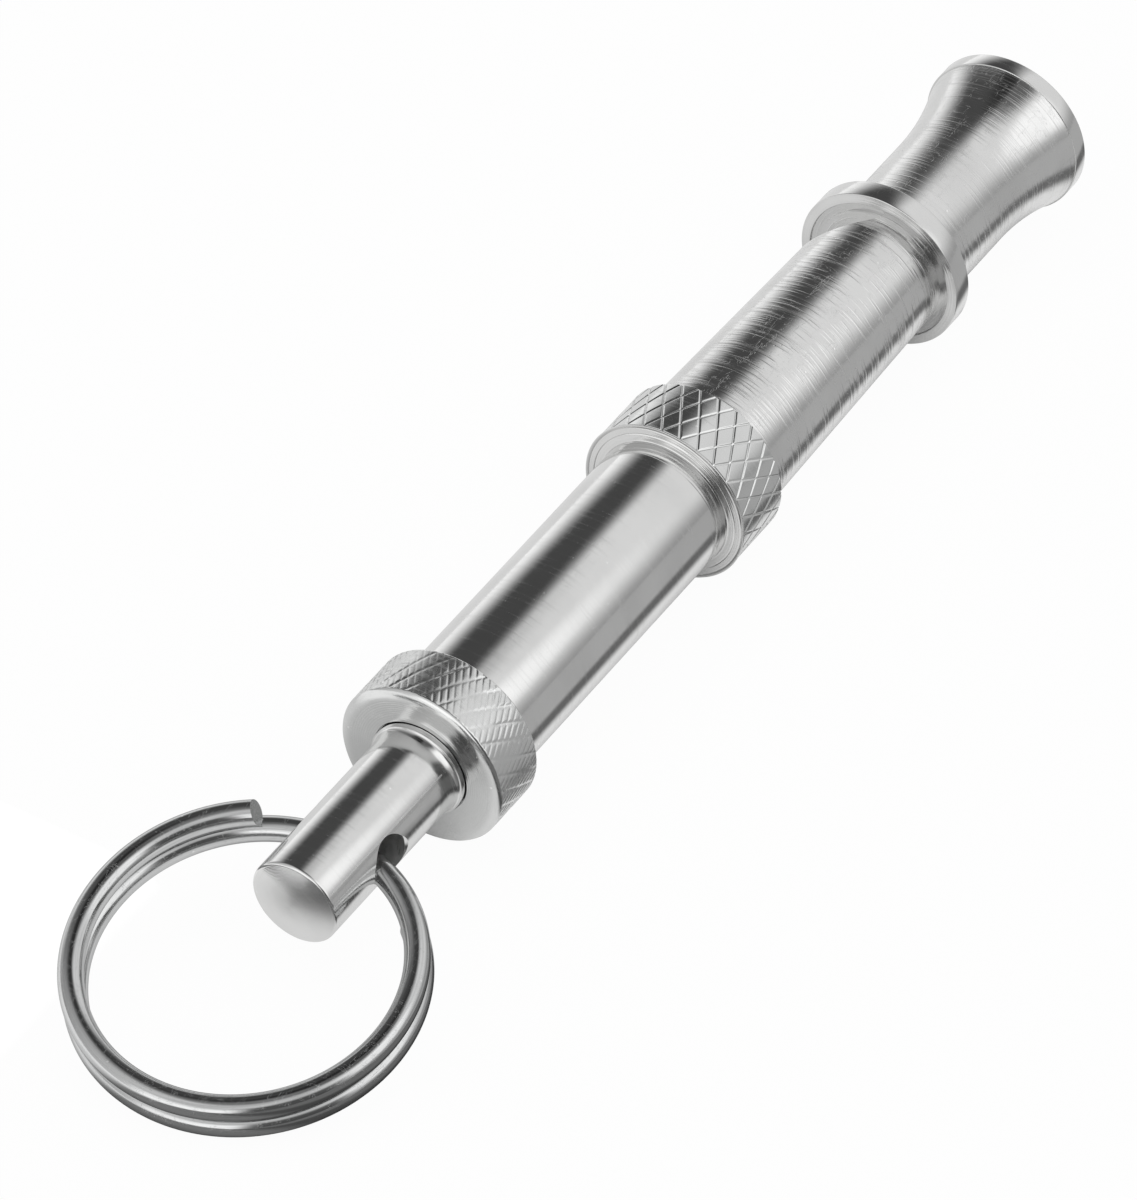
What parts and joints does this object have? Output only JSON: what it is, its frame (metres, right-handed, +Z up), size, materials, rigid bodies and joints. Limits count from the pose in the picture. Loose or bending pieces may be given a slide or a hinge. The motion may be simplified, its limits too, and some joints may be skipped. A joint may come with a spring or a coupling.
{
  "type": "dog whistle",
  "caption": "Adjustable metal dog whistle: flared mouthpiece, slotted barrel, knurled lock nut, screw-out tuning sleeve with knurled knob, and a swivel pin with a split ring.",
  "frame": {"origin": "on the surface that the whistle lies on, under the middle of its bounding box, ring included", "axes": "+X along the whistle towards the mouth, +Y to the side that the sound window faces, +Z up"},
  "size_m": [0.093, 0.0208, 0.0107],
  "materials": {
    "turned_nickel": "nickel plate over visible turning marks",
    "polished_nickel": "polished nickel plate",
    "knurled_nickel": "nickel plate over a diamond knurl",
    "spring_steel": "plated spring steel",
    "brass": "turned, unplated",
    "seal_rubber": "black, matte"
  },
  "bodies": {
    "whistle_body": {"mouthpiece": "turned_nickel", "windway_block": "turned_nickel", "barrel": "turned_nickel", "thread_bush": "brass"},
    "piston": {"piston": "brass", "piston_seal": "seal_rubber"},
    "tuning_sleeve": {"tuning_stem": "brass", "piston_screw": "spring_steel", "tuning_sleeve": "polished_nickel", "end_knob": "knurled_nickel"},
    "lock_ring": {"lock_nut_ring": "polished_nickel"},
    "lock_nut": {"lock_nut": "knurled_nickel"},
    "swivel": {"swivel_pin": "polished_nickel", "swivel_washer": "spring_steel", "swivel_clip": "spring_steel"},
    "split_ring": {"split_ring": "spring_steel"}
  },
  "joints": [
    {"name": "tuning_slide", "type": "slide", "parent": "whistle_body", "child": "piston", "axis": [-1, 0, 0], "range_m": [0, 0.006]},
    {"name": "tuning_turn", "type": "hinge", "parent": "piston", "child": "tuning_sleeve", "pos_m": [0, -0.00101, 0.00535], "axis": [-1, 0, 0], "range_deg": [0, 2880]},
    {"name": "lock_slide", "type": "slide", "parent": "whistle_body", "child": "lock_ring", "axis": [-1, 0, 0], "range_m": [0, 0.0009375]},
    {"name": "lock_nut_turn", "type": "hinge", "parent": "lock_ring", "child": "lock_nut", "pos_m": [0.009, -0.00101, 0.00535], "axis": [-1, 0, 0], "range_deg": [0, 450]},
    {"name": "pin_swivel", "type": "hinge", "parent": "tuning_sleeve", "child": "swivel", "pos_m": [-0.02, -0.00101, 0.00535], "axis": [1, 0, 0], "continuous": true},
    {"name": "ring_swing", "type": "hinge", "parent": "swivel", "child": "split_ring", "pos_m": [-0.02658, -0.00101, 0.00535], "axis": [0, 1, 0], "range_deg": [-135, 160]}
  ],
  "couplings": [
    {"joint": "tuning_turn", "follows": "tuning_slide", "rad_per_m": 8377.5},
    {"joint": "lock_nut_turn", "follows": "lock_slide", "rad_per_m": 8377.5}
  ]
}
